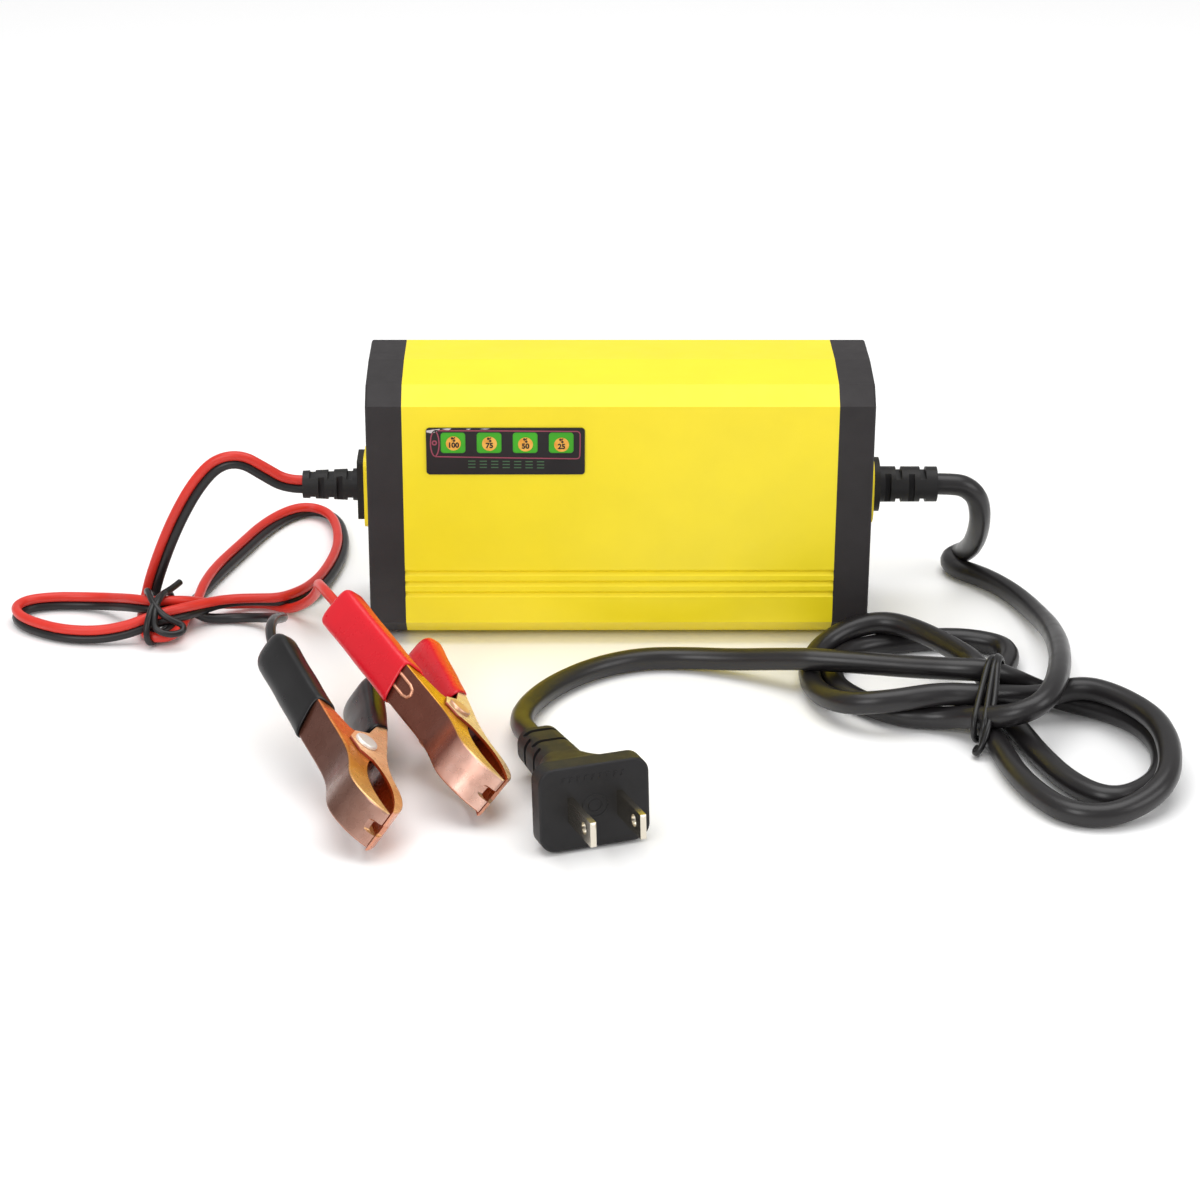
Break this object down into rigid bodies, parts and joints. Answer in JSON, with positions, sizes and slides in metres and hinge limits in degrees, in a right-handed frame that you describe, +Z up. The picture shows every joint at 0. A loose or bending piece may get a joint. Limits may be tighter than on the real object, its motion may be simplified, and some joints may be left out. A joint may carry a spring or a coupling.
{
  "type": "car battery charger",
  "caption": "Mains car battery charger: a small box with charge-level windows, a folded mains lead with a two-blade plug, and a tied output lead with one red and one black spring clip.",
  "frame": {"origin": "centre of the case's footprint, on the surface the charger stands on", "axes": "+X along the case towards the mains lead, +Y towards the back of the case, away from the indicator label, +Z up"},
  "size_m": [0.3193, 0.2391, 0.078],
  "materials": {
    "shell_yellow": "fine satin texture, glossy facets",
    "cap_black": "fine spark texture",
    "screw_steel": "zinc plated",
    "label_film": "printed film",
    "window_green": "tinted clear windows",
    "led_lens": "diffused LED lens",
    "board_green": "solder-masked laminate",
    "insulation_fibre": "pressed fibre sheet",
    "ferrite": "sintered grey",
    "winding_tape": "polyester tape over copper",
    "component_black": "moulded epoxy",
    "fuse_glass": "clear tube",
    "clip_tin": "tin plated",
    "capacitor_yellow": "moulded box",
    "capacitor_sleeve": "shrink sleeve with aluminium top",
    "sink_aluminium": "mill finish",
    "wire_red_black": "insulated wire",
    "cord_black": "satin flexible sheath",
    "plug_black": "moulded satin",
    "blade_nickel": "nickel plated brass",
    "core_red": "smooth insulation",
    "core_black": "smooth insulation",
    "clip_copper": "copper plated sheet",
    "sleeve_red": "soft dipped sleeve",
    "sleeve_black": "soft dipped sleeve",
    "spring_steel": "spring wire"
  },
  "bodies": {
    "charger": {"front_shell": "shell_yellow", "back_shell": "shell_yellow", "left_end_cap": "cap_black", "right_end_cap": "cap_black", "left_end_panel": "cap_black", "right_end_panel": "cap_black", "left_end_screws": "screw_steel", "right_end_screws": "screw_steel", "indicator_label": "label_film", "indicator_windows": "window_green", "indicator_leds": "led_lens", "indicator_board": "board_green", "circuit_board": "board_green", "insulation_sheet": "insulation_fibre", "transformer_core": "ferrite", "transformer_winding": "winding_tape", "mains_fuse": "fuse_glass", "fuse_clips": "clip_tin", "mains_choke": "component_black", "filter_capacitor": "capacitor_yellow", "bridge_rectifier": "component_black", "control_chip": "component_black", "optocoupler": "component_black", "mains_capacitor": "capacitor_sleeve", "output_capacitors": "capacitor_sleeve", "transistor_heat_sink": "sink_aluminium", "switching_transistor": "component_black", "diode_heat_sink": "sink_aluminium", "output_diode": "component_black", "mains_wires": "wire_red_black", "output_wires": "wire_red_black", "mains_strain_relief": "plug_black", "output_strain_relief": "plug_black", "mains_lead": "cord_black", "mains_lead_to_plug": "cord_black", "mains_hank": "cord_black", "mains_tie": "cord_black", "output_lead": "cord_black", "output_hank": "cord_black", "output_tie": "cord_black", "black_core": "core_black", "red_core": "core_red", "plug_body": "plug_black", "plug_blades": "blade_nickel", "red_clip_wired_half": "clip_copper", "red_clip_wired_sleeve": "sleeve_red", "red_clip_rivet": "blade_nickel", "red_clip_spring": "spring_steel", "black_clip_wired_half": "clip_copper", "black_clip_wired_sleeve": "sleeve_black", "black_clip_rivet": "blade_nickel", "black_clip_spring": "spring_steel"},
    "red_clip": {"red_clip_moving_half": "clip_copper", "red_clip_moving_sleeve": "sleeve_red"},
    "black_clip": {"black_clip_moving_half": "clip_copper", "black_clip_moving_sleeve": "sleeve_black"}
  },
  "joints": [
    {"name": "red_clip_hinge", "type": "hinge", "parent": "charger", "child": "red_clip", "pos_m": [-0.0464, -0.1023, 0.0128], "axis": [0.6314, 0.149, 0.761], "range_deg": [0, 24], "stiffness_Nm_per_rad": 0.3, "springref_deg": -34.38, "deforming": ["red_clip_spring"]},
    {"name": "black_clip_hinge", "type": "hinge", "parent": "charger", "child": "black_clip", "pos_m": [-0.069, -0.1188, 0.0112], "axis": [0.5753, 0.0755, 0.8145], "range_deg": [0, 24], "stiffness_Nm_per_rad": 0.3, "springref_deg": -34.38, "deforming": ["black_clip_spring"]}
  ]
}
